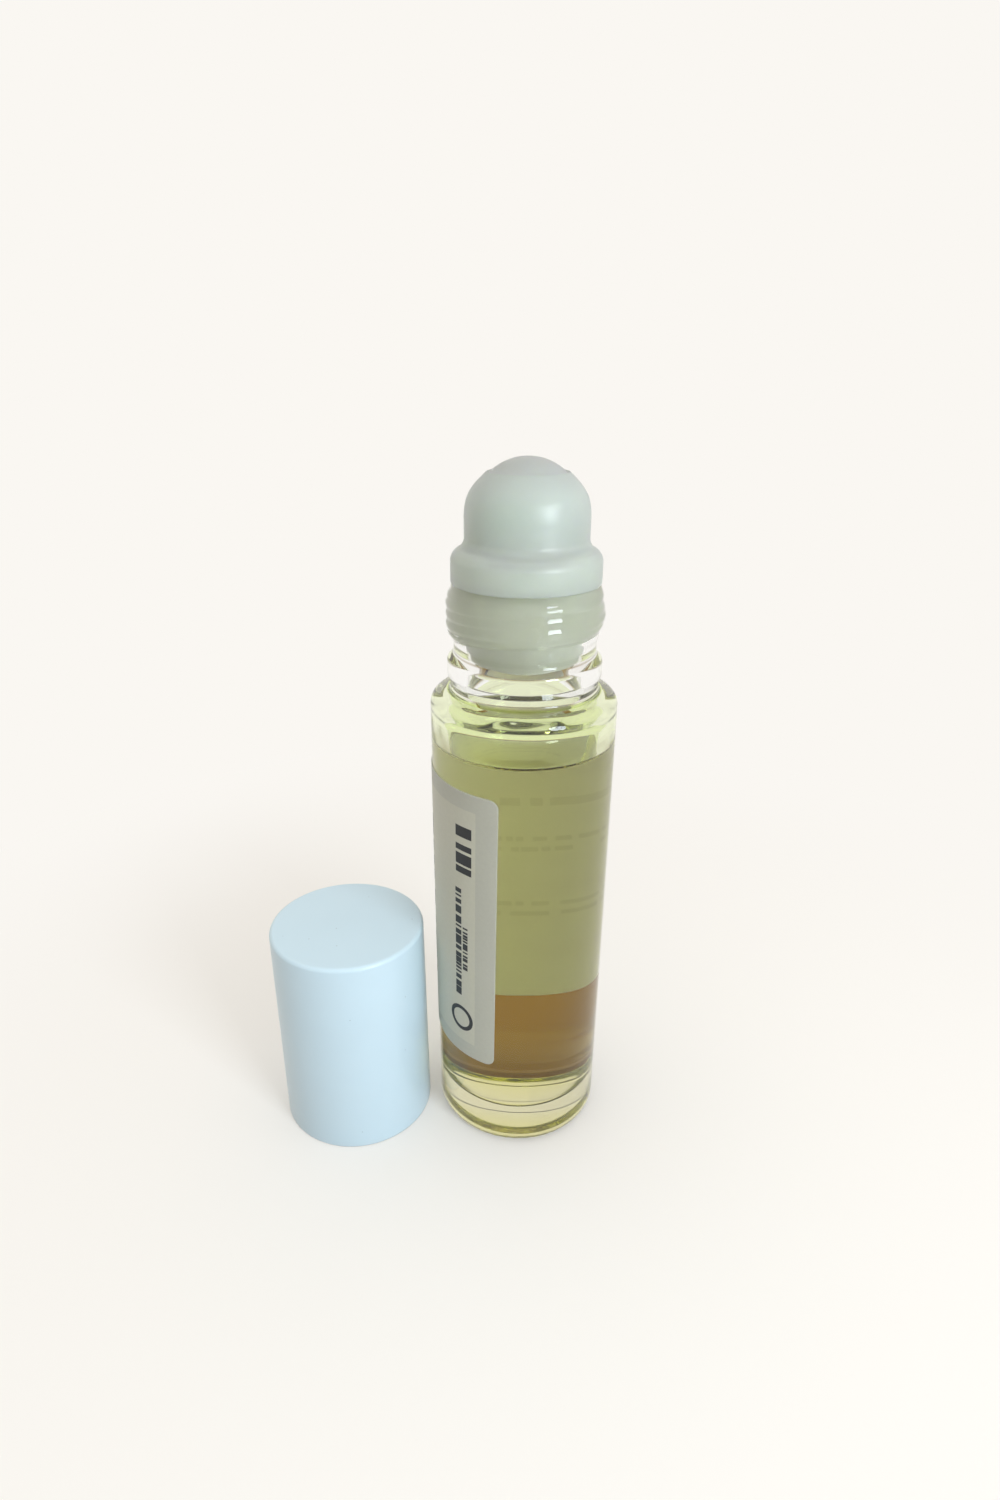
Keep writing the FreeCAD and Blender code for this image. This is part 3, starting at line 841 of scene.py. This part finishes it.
class ROLLON_OT_screw_cap(bpy.types.Operator):
    """Mould the screw cap, with its inner thread and sealing ring"""

    bl_idname = "rollon.screw_cap"
    bl_label = "Screw cap"

    def execute(self, context):
        s = context.scene.rollon_sizes
        inner = CAP_RADIUS - s.cap_wall
        ceiling = CAP_HEIGHT - s.cap_top
        ring_outer = s.seal_ring / 2
        ring_inner = ring_outer - s.seal_wall
        ring_z = ceiling - s.seal_depth
        mesh = bmesh.new()
        draw_outline(mesh, [
            Corner(0, ceiling),
            Corner(ring_inner, ceiling, SEAL_ROOT_ROUND),
            Corner(ring_inner, ring_z, SEAL_EDGE_ROUND),
            Corner(ring_outer, ring_z, SEAL_EDGE_ROUND),
            Corner(ring_outer, ceiling, SEAL_ROOT_ROUND),
            Corner(inner, ceiling, CAP_CEILING_ROUND),
            Corner(inner, CAP_LEAD_IN),
            Corner(inner + CAP_LEAD_IN, 0),
            Corner(CAP_RADIUS, 0, CAP_RIM_ROUND),
            Corner(CAP_RADIUS - s.cap_draft, CAP_HEIGHT, s.cap_edge),
            Corner(0, CAP_HEIGHT),
        ])
        thread_end = s.cap_thread_z + s.thread_pitch * s.cap_thread_length / FULL_TURN
        low = s.cap_thread_z - s.thread_pitch / 2
        high = thread_end + s.thread_pitch / 2
        self.divide_wall(mesh, inner, low, high)
        spin_outline(mesh, PLASTIC_STEPS)
        close_mesh(mesh)
        for vert in mesh.verts:
            radius = math.hypot(vert.co.x, vert.co.y)
            if abs(radius - inner) < MERGE and low < vert.co.z < high:
                self.raise_ridge(vert, radius, s)
        bmesh.ops.translate(mesh, verts=mesh.verts, vec=CAP_CENTRE)
        piece = to_piece("white_screw_cap", mesh, [cap_plastic(context.scene.rollon_colours)])
        put_in_frame(piece, "cap", "screw_cap")
        return {"FINISHED"}

    def divide_wall(self, mesh, inner, low, high):
        """Divide the inner wall's line finely where its thread will be raised."""
        wall = [
            edge
            for edge in mesh.edges
            if all(abs(vert.co.x - inner) < MERGE for vert in edge.verts)
        ]
        for height in (low, high):
            cut = bmesh.ops.bisect_plane(
                mesh, geom=[*mesh.verts, *wall], plane_co=(0, 0, height), plane_no=UP
            )
            wall = [item for item in cut["geom"] if isinstance(item, bmesh.types.BMEdge)]
        refine_outline(mesh, low, high, inner - MERGE, inner + MERGE)

    def raise_ridge(self, vert, radius, sizes):
        """Swell the inner wall to a rounded ridge."""
        for taper, middle_z in along_thread(vert, sizes, sizes.cap_thread_z, sizes.cap_thread_length):
            rise = min(abs(vert.co.z - middle_z), sizes.cap_thread_round)
            ridge = math.sqrt(sizes.cap_thread_round ** 2 - rise ** 2) - sizes.cap_thread_depth
            if taper * ridge > 0:
                set_radius(vert, radius - taper * ridge)


# A line of print as a plain broken bar on the flat label, in millimetres: from where to where
# along the label and up it, and the length of its dashes, which run up the label or along it.
Bar = namedtuple("Bar", "left right low high dash upright")
PRINT = (
    Bar(3.0, 5.2, 24.8, 31.0, 1.1, True),
    Bar(4.4, 5.3, 8.3, 23.1, 0.45, True),
    Bar(3.5, 4.2, 12.4, 18.2, 0.4, True),
    Bar(11.2, 14.4, 7.0, 29.0, 1.9, True),
    Bar(15.6, 16.6, 9.0, 27.0, 0.6, True),
    Bar(20.0, 36.0, 26.6, 27.6, 0.8, False),
    Bar(20.0, 33.0, 22.0, 22.6, 0.5, False),
    Bar(20.0, 34.5, 20.6, 21.2, 0.5, False),
    Bar(20.0, 31.0, 13.2, 13.8, 0.5, False),
    Bar(20.0, 32.0, 11.8, 12.4, 0.5, False),
)
DASH_LEVEL = 0.42               # noise over this is ink
DASH_SHIFT = 40.0               # from one bar's noise to the next one's
# The ring, the margins of the printed panel and the grain of the paper, in millimetres
MARK_PLACE = (4.5, 5.2)
MARK_RADIUS = 1.5
MARK_LINE = 0.5
PANEL_SIDE = 2.5
PANEL_END = 2.0
FIBRE_SIZE = 0.4                # drawn coarser than fibres are, so that they show
GUM_BLOTCH = 2.857


def in_rectangle(add, spot, left, right, low, high):
    """1 in a rectangle of the flat label, else 0."""
    along, up = [
        add("Math", {
            0: spot.outputs[axis],
            1: (least + most) / 2,
            2: (most - least) / 2,
        }, operation="COMPARE")
        for axis, least, most in (("X", left, right), ("Y", low, high))
    ]
    return add("Math", {0: along, 1: up}, operation="MULTIPLY")


def print_mask(add, unwrapped):
    """Where ink lies on the label: broken bars for lines of print, and a plain ring."""
    spot = add("SeparateXYZ", {"Vector": unwrapped})
    away = add("VectorMath", {0: unwrapped, 1: (*MARK_PLACE, 0)}, operation="DISTANCE")
    ink = add("Math", {0: away, 1: MARK_RADIUS, 2: MARK_LINE / 2}, operation="COMPARE")
    for index, bar in enumerate(PRINT):
        shifted = add("Math", {
            0: spot.outputs["Y" if bar.upright else "X"],
            1: DASH_SHIFT * index,
        }, operation="ADD")
        noise = add("TexNoise", {
            "W": shifted,
            "Scale": 1 / bar.dash,
            "Detail": 0.0,
        }, noise_dimensions="1D")
        dashes = add("Math", {0: noise, 1: DASH_LEVEL}, operation="GREATER_THAN")
        broken = add("Math", {
            0: in_rectangle(add, spot, bar.left, bar.right, bar.low, bar.high),
            1: dashes,
        }, operation="MULTIPLY")
        ink = add("Math", {0: ink, 1: broken}, operation="MAXIMUM")
    return ink


def label_paper(colours, width, height):
    """Coated paper, printed: weak sheen, fine fibres, a printed panel and lines of print."""
    material, add = new_material("coated_label_paper")
    unwrapped = add("UVMap", uv_map="unwrapped")
    spot = add("SeparateXYZ", {"Vector": unwrapped})
    right = width / MM - PANEL_SIDE
    high = height / MM - PANEL_END
    ground = add("Mix", {
        "Factor": in_rectangle(add, spot, PANEL_SIDE, right, PANEL_END, high),
        "A": rgba(colours.paper),
        "B": rgba(colours.paper_panel),
    }, data_type="RGBA")
    printed = add("Mix", {
        "Factor": print_mask(add, unwrapped),
        "A": ground,
        "B": rgba(colours.ink),
    }, data_type="RGBA")
    fibres = add("TexNoise", {"Vector": unwrapped, "Scale": 1 / FIBRE_SIZE, "Detail": 4.0})
    mottled = add("MapRange", {"Value": fibres, "To Min": 0.94, "To Max": 1.06})
    toned = add("VectorMath", {0: printed, "Scale": mottled}, operation="SCALE")
    skin = add("Bump", {"Height": fibres, "Strength": 0.4, "Distance": 0.01 * MM})
    sheet = add("BsdfPrincipled", {
        "Base Color": toned,
        "Roughness": 0.5,
        "IOR": 1.5,
        "Subsurface Weight": 1.0,
        "Subsurface Radius": (1.0, 1.0, 1.0),
        "Subsurface Scale": 0.3 * MM,
        "Normal": skin,
    })
    add("OutputMaterial", {"Surface": sheet})
    return material


def label_back(colours):
    """The label's gummed side, seen through glass and oil: the print shines through a little."""
    material, add = new_material("gummed_label_back")
    ink_shade = -0.09
    unwrapped = add("UVMap", uv_map="unwrapped")
    mottle = add("TexNoise", {"Vector": unwrapped, "Scale": 1 / GUM_BLOTCH, "Detail": 2.0})
    mottled = add("MapRange", {"Value": mottle, "To Min": 0.95, "To Max": 1.03})
    shaded = add("Math", {
        0: print_mask(add, unwrapped),
        1: ink_shade,
        2: mottled,
    }, operation="MULTIPLY_ADD")
    gum = add("VectorMath", {0: colours.paper_back, "Scale": shaded}, operation="SCALE")
    sheet = add("BsdfPrincipled", {
        "Base Color": gum,
        "Roughness": 0.7,
        "IOR": 1.5,
        "Subsurface Weight": 1.0,
        "Subsurface Radius": (1.0, 1.0, 1.0),
        "Subsurface Scale": 0.3 * MM,
    })
    add("OutputMaterial", {"Surface": sheet})
    return material


class ROLLON_OT_label(bpy.types.Operator):
    """Cut the paper label and wrap it round the bottle"""

    bl_idname = "rollon.label"
    bl_label = "Label"

    def execute(self, context):
        s = context.scene.rollon_sizes
        height = LABEL_HIGH.z - LABEL_LOW.z
        mesh = bmesh.new()
        bmesh.ops.create_grid(mesh, x_segments=1, y_segments=1, size=0.5)
        bmesh.ops.translate(mesh, verts=mesh.verts, vec=(0.5, 0.5, 0))
        bmesh.ops.scale(mesh, verts=mesh.verts, vec=(s.label_width, height, 1))
        round_off(mesh, list(mesh.verts), s.label_corner)
        for index in range(1, LABEL_STRIPS):
            bmesh.ops.bisect_plane(
                mesh,
                geom=[*mesh.verts, *mesh.edges, *mesh.faces],
                plane_co=(s.label_width * index / LABEL_STRIPS, 0, 0),
                plane_no=(1, 0, 0),
            )
        # The UV map is the flat label in millimetres.
        unwrapped = mesh.loops.layers.uv.new("unwrapped")
        for face in mesh.faces:
            for loop in face.loops:
                loop[unwrapped].uv = (loop.vert.co.x / MM, loop.vert.co.y / MM)
        bmesh.ops.recalc_face_normals(mesh, faces=mesh.faces)
        self.add_back(mesh, LABEL_THICKNESS + LABEL_BITE)
        for vert in mesh.verts:
            self.wrap(vert, height, s)
        bmesh.ops.recalc_face_normals(mesh, faces=mesh.faces)
        colours = context.scene.rollon_colours
        papers = [label_paper(colours, s.label_width, height), label_back(colours)]
        piece = to_piece("paper_label", mesh, papers)
        put_in_frame(piece, "bottle", "label")
        return {"FINISHED"}

    def add_back(self, mesh, thickness):
        """Give the flat label its gummed side, and close the edge between the two."""
        copied = bmesh.ops.duplicate(mesh, geom=[*mesh.verts, *mesh.edges, *mesh.faces])["geom"]
        verts = [item for item in copied if isinstance(item, bmesh.types.BMVert)]
        faces = [item for item in copied if isinstance(item, bmesh.types.BMFace)]
        bmesh.ops.translate(mesh, verts=verts, vec=-thickness * UP)
        bmesh.ops.reverse_faces(mesh, faces=faces)
        for face in faces:
            face.material_index = 1
        bmesh.ops.bridge_loops(mesh, edges=[edge for edge in mesh.edges if edge.is_boundary])

    def wrap(self, vert, height, sizes):
        """Bend a point of the flat label round the bottle, to the left of its front edge."""
        along, up, depth = vert.co
        leant = along + (height - up) * math.tan(sizes.label_lean)
        angle = sizes.label_edge - leant / BODY_RADIUS
        radius = BODY_RADIUS + LABEL_THICKNESS + depth
        vert.co = (
            radius * math.sin(angle),
            -radius * math.cos(angle),
            LABEL_LOW.z + up + along * math.tan(sizes.label_slope),
        )


# Tones of floor and room as shares of the backdrop, and how they change with place
FLOOR_LIT = 0.76                # what the floor takes from light
FLOOR_GLOW = 0.24               # what it has by itself
FLOOR_BOUNCE = 0.4              # what it is to rays from dull surfaces
ROOM_LOW = 0.48                 # room light at its least
ROOM_HIGH = 1.06                # room light overhead
ROOM_RISE = 0.9                 # how fast room light grows from the horizon upwards
ROOM_LEVEL = 0.08               # how far it has grown at the horizon
MELT_START = 35 * MM            # from here the floor melts into the backdrop
MELT_END = 120 * MM
# The floor's shade in the next two lines is painted shade, seen only through the pieces
SHADE_START = 55 * MM           # from here the floor's shade fades
SHADE_END = 130 * MM


def pale_floor(colours):
    """Seamless pale paper: takes soft shadows near the pieces and melts into the backdrop.

    Rays that have bounced off a dull surface find it darker, so it lights the pieces less than
    it shows. Rays that come through glass, oil or plastic find painted shade near the bottle:
    a brown colour in place of the pale paper.
    """
    material, add = new_material("pale_paper_sweep")
    place = add("TexCoord")
    reach = add("VectorMath", {0: place.outputs["Object"]}, operation="LENGTH")
    far = add("MapRange", {
        "Value": reach,
        "From Min": MELT_START,
        "From Max": MELT_END,
    }, interpolation_type="SMOOTHSTEP")
    lit = add("BsdfDiffuse", {"Color": rgba(colours.backdrop, FLOOR_LIT)})
    glow = add("Emission", {"Color": rgba(colours.backdrop), "Strength": FLOOR_GLOW})
    paper = add("AddShader", {0: lit, 1: glow})
    backdrop = add("Emission", {"Color": rgba(colours.backdrop)})
    sweep = add("MixShader", {0: far, 1: paper, 2: backdrop})
    path = add("LightPath")
    near = add("MapRange", {
        "Value": reach,
        "From Min": SHADE_START,
        "From Max": SHADE_END,
        "To Min": 1.0,
        "To Max": 0.0,
    }, interpolation_type="SMOOTHSTEP")
    through = add("Math", {0: near, 1: path.outputs["Is Transmission Ray"]}, operation="MULTIPLY")
    # Painted shade: brown in place of the pale paper, near the bottle and only for rays through the
    # pieces
    shade = add("BsdfDiffuse", {"Color": rgba(colours.shade)})
    seen = add("MixShader", {0: through, 1: sweep, 2: shade})
    bounce = add("BsdfDiffuse", {"Color": rgba(colours.backdrop, FLOOR_BOUNCE)})
    floor = add("MixShader", {0: path.outputs["Diffuse Depth"], 1: seen, 2: bounce})
    add("OutputMaterial", {"Surface": floor})
    return material


class ROLLON_OT_stage(bpy.types.Operator):
    """Set up floor, backdrop, light and camera"""

    bl_idname = "rollon.stage"
    bl_label = "Stage"

    def execute(self, context):
        scene = context.scene
        stage = scene.rollon_stage
        colours = scene.rollon_colours
        self.lay_floor(stage, colours)
        self.light_room(scene, colours)
        self.hang_window(scene, stage, colours)
        self.set_camera(scene, stage)
        scene.view_settings.view_transform = "Standard"
        scene.cycles.max_bounces = 32
        scene.cycles.transmission_bounces = 24
        scene.cycles.glossy_bounces = 8
        return {"FINISHED"}

    def lay_floor(self, stage, colours):
        """A wide round floor, a hair under the pieces."""
        mesh = bmesh.new()
        bmesh.ops.create_circle(
            mesh, cap_ends=True, radius=stage.floor_reach, segments=FLOOR_SIDES
        )
        bmesh.ops.translate(mesh, verts=mesh.verts, vec=-stage.floor_gap * UP)
        floor = to_piece("floor", mesh, [pale_floor(colours)])
        floor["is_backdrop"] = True

    def light_room(self, scene, colours):
        """Soft room light, brighter overhead. Camera, mirrors and glass see the plain backdrop."""
        world = bpy.data.worlds.new("pale_room")
        add = clear_nodes(world)
        outward = add("TexCoord")
        direction = add("SeparateXYZ", {"Vector": outward.outputs["Generated"]})
        brightness = add("Math", {
            0: direction.outputs["Z"],
            1: ROOM_RISE,
            2: ROOM_LEVEL,
        }, operation="MULTIPLY_ADD", use_clamp=True)
        tone = add("Mix", {
            "Factor": brightness,
            "A": rgba(colours.backdrop, ROOM_LOW),
            "B": rgba(colours.backdrop, ROOM_HIGH),
        }, data_type="RGBA")
        room = add("Background", {"Color": tone})
        backdrop = add("Background", {"Color": rgba(colours.backdrop)})
        path = add("LightPath")
        mirrored = add("Math", {
            0: path.outputs["Is Glossy Ray"],
            1: path.outputs["Is Transmission Ray"],
        }, operation="MAXIMUM")
        seen = add("Math", {0: path.outputs["Is Camera Ray"], 1: mirrored}, operation="MAXIMUM")
        mixed = add("MixShader", {0: seen, 1: room, 2: backdrop})
        add("OutputWorld", {"Surface": mixed})
        scene.world = world

    def hang_window(self, scene, stage, colours):
        """A small soft light on the right in front, which the pieces mirror as a window."""
        lamp = bpy.data.lights.new("window", "AREA")
        lamp.shape = "RECTANGLE"
        lamp.size = stage.window_width
        lamp.size_y = stage.window_height
        lamp.energy = stage.window_power
        lamp.color = colours.daylight
        window = bpy.data.objects.new("window", lamp)
        scene.collection.objects.link(window)
        level = math.cos(stage.window_rise)
        direction = Vector((
            math.sin(stage.window_bearing) * level,
            -math.cos(stage.window_bearing) * level,
            math.sin(stage.window_rise),
        ))
        window.location = stage.window_aim * UP + stage.window_distance * direction
        window.rotation_euler = direction.to_track_quat("Z", "Y").to_euler()

    def set_camera(self, scene, stage):
        """The photograph's view."""
        data = bpy.data.cameras.new("camera")
        data.sensor_width = SENSOR_MM
        data.lens = SENSOR_MM * FOCAL_PIXELS / PHOTO_HEIGHT
        data.shift_x = (PHOTO_WIDTH / 2 - VIEW_MIDDLE.x) / PHOTO_HEIGHT
        data.shift_y = (VIEW_MIDDLE.y - PHOTO_HEIGHT / 2) / PHOTO_HEIGHT
        data.clip_start = 5 * MM
        data.clip_end = 10
        camera = bpy.data.objects.new("camera", data)
        scene.collection.objects.link(camera)
        camera.location = (0, -stage.camera_back, stage.camera_height)
        camera.rotation_euler = (math.pi / 2 - stage.camera_tilt, 0, stage.camera_pan)
        scene.camera = camera


class ROLLON_PT_panel(bpy.types.Panel):
    bl_idname = "ROLLON_PT_panel"
    bl_label = "Roll-on bottle"
    bl_space_type = "VIEW_3D"
    bl_region_type = "UI"
    bl_category = "Roll-on"

    def draw(self, context):
        for operator in OPERATORS:
            self.layout.operator(operator.bl_idname)
        for group_name, group in GROUPS.items():
            box = self.layout.box()
            for name in group.__annotations__:
                box.prop(getattr(context.scene, group_name), name)


GROUPS = {
    "rollon_sizes": RollOnSizes,
    "rollon_colours": RollOnColours,
    "rollon_stage": RollOnStage,
}
OPERATORS = (
    ROLLON_OT_glass_bottle,
    ROLLON_OT_oil,
    ROLLON_OT_roller_housing,
    ROLLON_OT_roller_ball,
    ROLLON_OT_screw_cap,
    ROLLON_OT_label,
    ROLLON_OT_stage,
)


def register():
    for name, group in GROUPS.items():
        bpy.utils.register_class(group)
        setattr(bpy.types.Scene, name, bpy.props.PointerProperty(type=group))
    for cls in (*OPERATORS, ROLLON_PT_panel):
        bpy.utils.register_class(cls)


def unregister():
    for cls in (ROLLON_PT_panel, *reversed(OPERATORS)):
        bpy.utils.unregister_class(cls)
    for name, group in reversed(GROUPS.items()):
        delattr(bpy.types.Scene, name)
        bpy.utils.unregister_class(group)


def main():
    register()
    bpy.ops.rollon.glass_bottle()
    bpy.ops.rollon.oil()
    bpy.ops.rollon.roller_housing()
    bpy.ops.rollon.roller_ball()
    bpy.ops.rollon.screw_cap()
    bpy.ops.rollon.label()
    bpy.ops.rollon.stage()
    boxes = {"cad": CAD_BOX, "visual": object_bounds()}
    {name: [list(corner) for corner in box] for name, box in boxes.items()}


if __name__ == "__main__":
    main()
